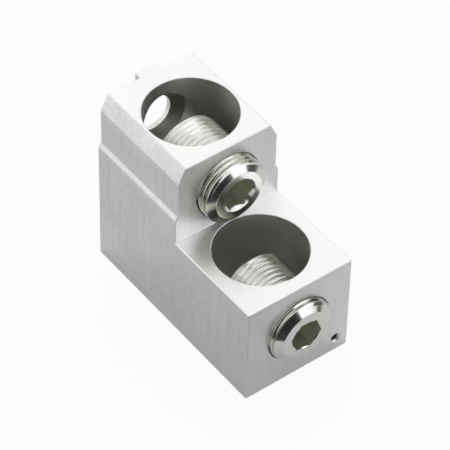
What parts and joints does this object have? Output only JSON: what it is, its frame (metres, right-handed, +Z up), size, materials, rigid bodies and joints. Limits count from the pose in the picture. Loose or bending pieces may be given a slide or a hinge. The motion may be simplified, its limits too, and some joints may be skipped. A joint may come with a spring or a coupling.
{
  "type": "cable terminal lug",
  "caption": "Stepped aluminium cable lug: a vertical cable bore in each tier, a hexagon-socket clamp screw across each bore, and a bolt hole through the flat contact face.",
  "frame": {"origin": "centre of the mounting hole, on the flat contact face at the back", "axes": "+X across the block, to the right seen from the screws; +Y from the screws to the contact face and out of it; +Z up along the cable bores"},
  "size_m": [0.031, 0.0656, 0.053],
  "materials": {
    "block": "tin-plated aluminium extrusion, satin, with fine mill marks on the machined top faces and faint draw lines on the sides",
    "screws": "bright zinc-plated steel, turned, with a faint yellow-green tint"
  },
  "bodies": {
    "body": {"lug_body": "block"},
    "upper_screw": {"upper_clamp_screw": "screws"},
    "lower_screw": {"lower_clamp_screw": "screws"}
  },
  "joints": [
    {"name": "upper_screw_travel", "type": "slide", "parent": "body", "child": "upper_screw", "axis": [0, 1, 0], "range_m": [-0.014, 0.0062]},
    {"name": "lower_screw_travel", "type": "slide", "parent": "body", "child": "lower_screw", "axis": [0, 1, 0], "range_m": [-0.015, 0.0053]}
  ]
}
